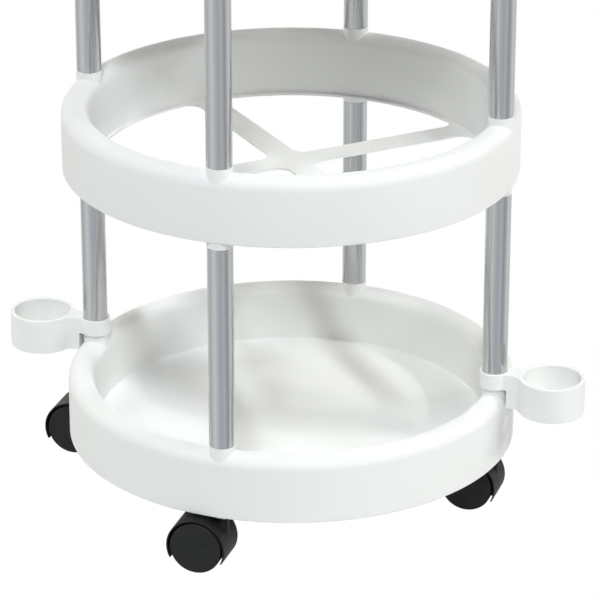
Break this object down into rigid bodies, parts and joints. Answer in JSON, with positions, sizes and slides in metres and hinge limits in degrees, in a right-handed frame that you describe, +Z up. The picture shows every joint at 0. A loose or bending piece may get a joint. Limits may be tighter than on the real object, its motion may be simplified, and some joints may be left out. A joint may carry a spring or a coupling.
{
  "type": "round spa trolley cart",
  "caption": "Round trolley on hooded twin-wheel castors: deep white trays and an open spoked ring between aluminium tubes, with bottle rings at the sides.",
  "frame": {"origin": "on the floor, at the centre of the round tiers", "axes": "+Z up, +X towards the right holder, -Y towards the front upright"},
  "size_m": [0.4644, 0.356, 0.5323],
  "materials": {
    "white_plastic": "smooth white moulded plastic, semi-matt",
    "holder_plastic": "smooth white moulded plastic, semi-matt",
    "tube_aluminium": "satin anodised, drawn along its length",
    "grey_plastic": "moulded nylon",
    "zinc_steel": "bright zinc plated",
    "black_plastic": "satin black moulded nylon",
    "wheel_nylon": "black moulded nylon"
  },
  "bodies": {
    "frame": {"bottom_tray": "white_plastic", "middle_ring": "white_plastic", "top_tray": "white_plastic", "lower_tube_right": "tube_aluminium", "lower_tube_back": "tube_aluminium", "lower_tube_left": "tube_aluminium", "lower_tube_front": "tube_aluminium", "upper_tube_right": "tube_aluminium", "upper_tube_back": "tube_aluminium", "upper_tube_left": "tube_aluminium", "upper_tube_front": "tube_aluminium", "lower_tube_plugs": "grey_plastic", "upper_tube_plugs": "grey_plastic", "bottom_inserts": "zinc_steel", "top_inserts": "zinc_steel", "bottom_studs": "zinc_steel", "joining_studs": "zinc_steel", "top_studs": "zinc_steel", "caster_right_stem": "zinc_steel", "caster_back_stem": "zinc_steel", "caster_left_stem": "zinc_steel", "caster_front_stem": "zinc_steel"},
    "caster_right": {"caster_right_hood": "black_plastic", "caster_right_axle": "zinc_steel"},
    "wheel_right_a": {"caster_right_wheel_a": "wheel_nylon"},
    "wheel_right_b": {"caster_right_wheel_b": "wheel_nylon"},
    "caster_back": {"caster_back_hood": "black_plastic", "caster_back_axle": "zinc_steel"},
    "wheel_back_a": {"caster_back_wheel_a": "wheel_nylon"},
    "wheel_back_b": {"caster_back_wheel_b": "wheel_nylon"},
    "caster_left": {"caster_left_hood": "black_plastic", "caster_left_axle": "zinc_steel"},
    "wheel_left_a": {"caster_left_wheel_a": "wheel_nylon"},
    "wheel_left_b": {"caster_left_wheel_b": "wheel_nylon"},
    "caster_front": {"caster_front_hood": "black_plastic", "caster_front_axle": "zinc_steel"},
    "wheel_front_a": {"caster_front_wheel_a": "wheel_nylon"},
    "wheel_front_b": {"caster_front_wheel_b": "wheel_nylon"},
    "holder_right": {"holder_right": "holder_plastic"},
    "holder_left": {"holder_left": "holder_plastic"}
  },
  "joints": [
    {"name": "caster_right_swivel", "type": "hinge", "parent": "frame", "child": "caster_right", "pos_m": [0.16225, 0, 0.03], "axis": [0, 0, 1], "continuous": true},
    {"name": "wheel_right_a_roll", "type": "hinge", "parent": "caster_right", "child": "wheel_right_a", "pos_m": [0.14575, 0, 0.02], "axis": [0, 1, 0], "continuous": true},
    {"name": "wheel_right_b_roll", "type": "hinge", "parent": "caster_right", "child": "wheel_right_b", "pos_m": [0.14575, 0, 0.02], "axis": [0, 1, 0], "continuous": true},
    {"name": "caster_back_swivel", "type": "hinge", "parent": "frame", "child": "caster_back", "pos_m": [0, 0.16225, 0.03], "axis": [0, 0, 1], "continuous": true},
    {"name": "wheel_back_a_roll", "type": "hinge", "parent": "caster_back", "child": "wheel_back_a", "pos_m": [-0.0165, 0.16225, 0.02], "axis": [0, 1, 0], "continuous": true},
    {"name": "wheel_back_b_roll", "type": "hinge", "parent": "caster_back", "child": "wheel_back_b", "pos_m": [-0.0165, 0.16225, 0.02], "axis": [0, 1, 0], "continuous": true},
    {"name": "caster_left_swivel", "type": "hinge", "parent": "frame", "child": "caster_left", "pos_m": [-0.16225, 0, 0.03], "axis": [0, 0, 1], "continuous": true},
    {"name": "wheel_left_a_roll", "type": "hinge", "parent": "caster_left", "child": "wheel_left_a", "pos_m": [-0.17875, 0, 0.02], "axis": [0, 1, 0], "continuous": true},
    {"name": "wheel_left_b_roll", "type": "hinge", "parent": "caster_left", "child": "wheel_left_b", "pos_m": [-0.17875, 0, 0.02], "axis": [0, 1, 0], "continuous": true},
    {"name": "caster_front_swivel", "type": "hinge", "parent": "frame", "child": "caster_front", "pos_m": [0, -0.16225, 0.03], "axis": [0, 0, 1], "continuous": true},
    {"name": "wheel_front_a_roll", "type": "hinge", "parent": "caster_front", "child": "wheel_front_a", "pos_m": [-0.0165, -0.16225, 0.02], "axis": [0, 1, 0], "continuous": true},
    {"name": "wheel_front_b_roll", "type": "hinge", "parent": "caster_front", "child": "wheel_front_b", "pos_m": [-0.0165, -0.16225, 0.02], "axis": [0, 1, 0], "continuous": true},
    {"name": "holder_right_lift", "type": "slide", "parent": "frame", "child": "holder_right", "axis": [0, 0, 1], "range_m": [0, 0.144]},
    {"name": "holder_left_lift", "type": "slide", "parent": "frame", "child": "holder_left", "axis": [0, 0, 1], "range_m": [0, 0.144]}
  ]
}
